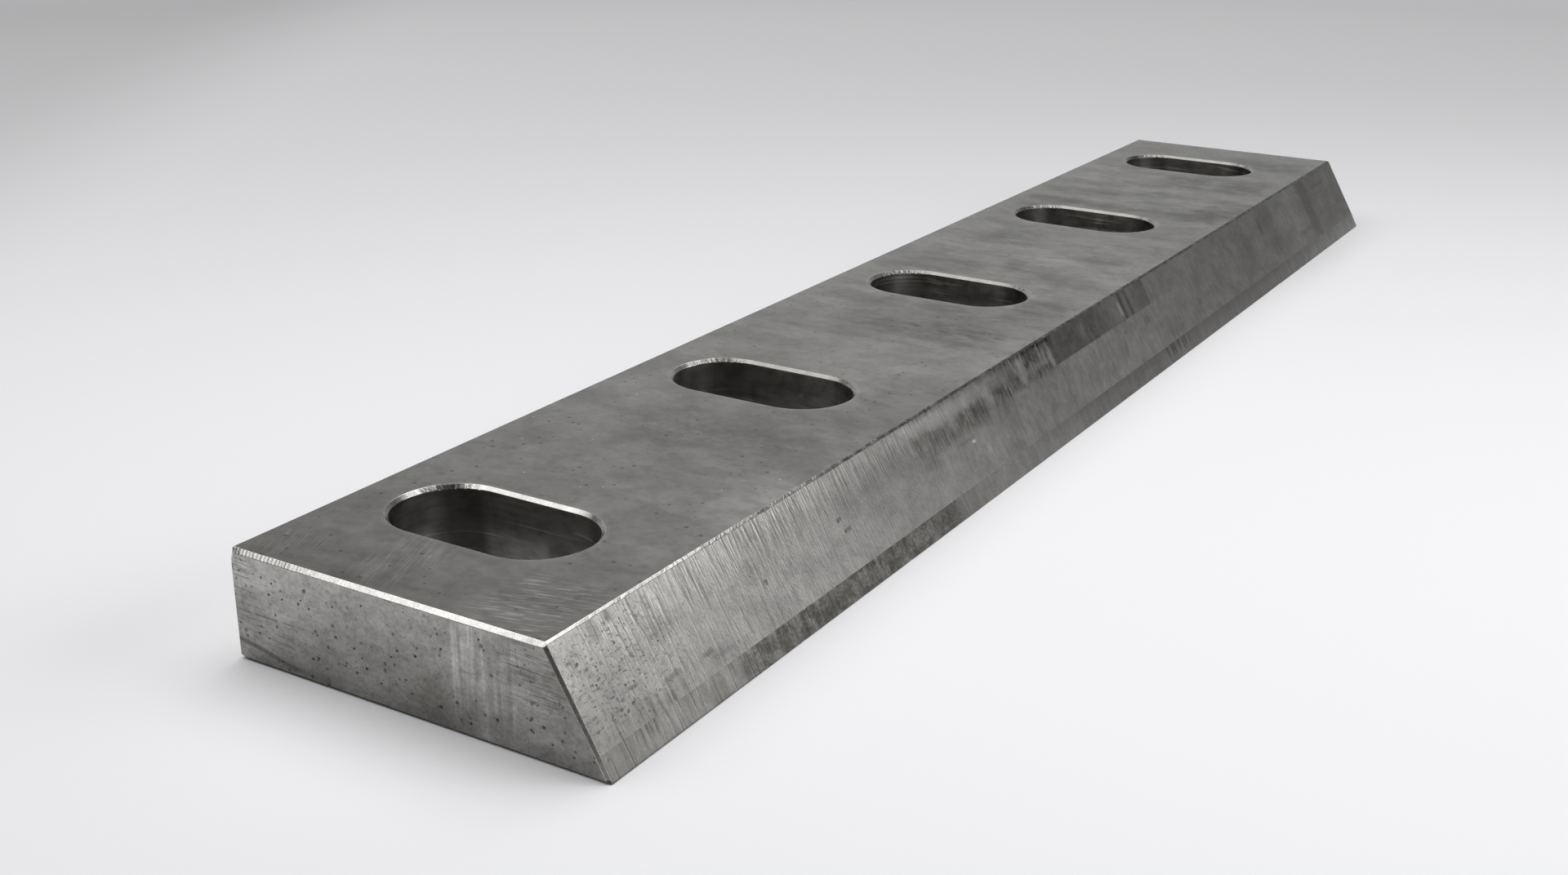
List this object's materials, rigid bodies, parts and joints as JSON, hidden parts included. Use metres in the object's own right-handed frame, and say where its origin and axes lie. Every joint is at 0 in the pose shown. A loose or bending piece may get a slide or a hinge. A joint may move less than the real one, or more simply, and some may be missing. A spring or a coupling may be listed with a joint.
{
  "type": "granulator knife",
  "caption": "Flat steel granulator knife with a long bevelled cutting edge, a narrow land at the edge and a row of chamfered bolt slots across it.",
  "frame": {"origin": "middle of the seat face, halfway along the knife and halfway across it, at the underside", "axes": "+X along the knife, +Y from the cutting edge to the back face, +Z from the seat face up to the top face"},
  "size_m": [0.425, 0.08, 0.021],
  "materials": {
    "ground_steel": "surface-ground tool steel, worn and lightly stained, with fine pits and scratches"
  },
  "bodies": {
    "root": {"knife": "ground_steel"}
  },
  "joints": []
}
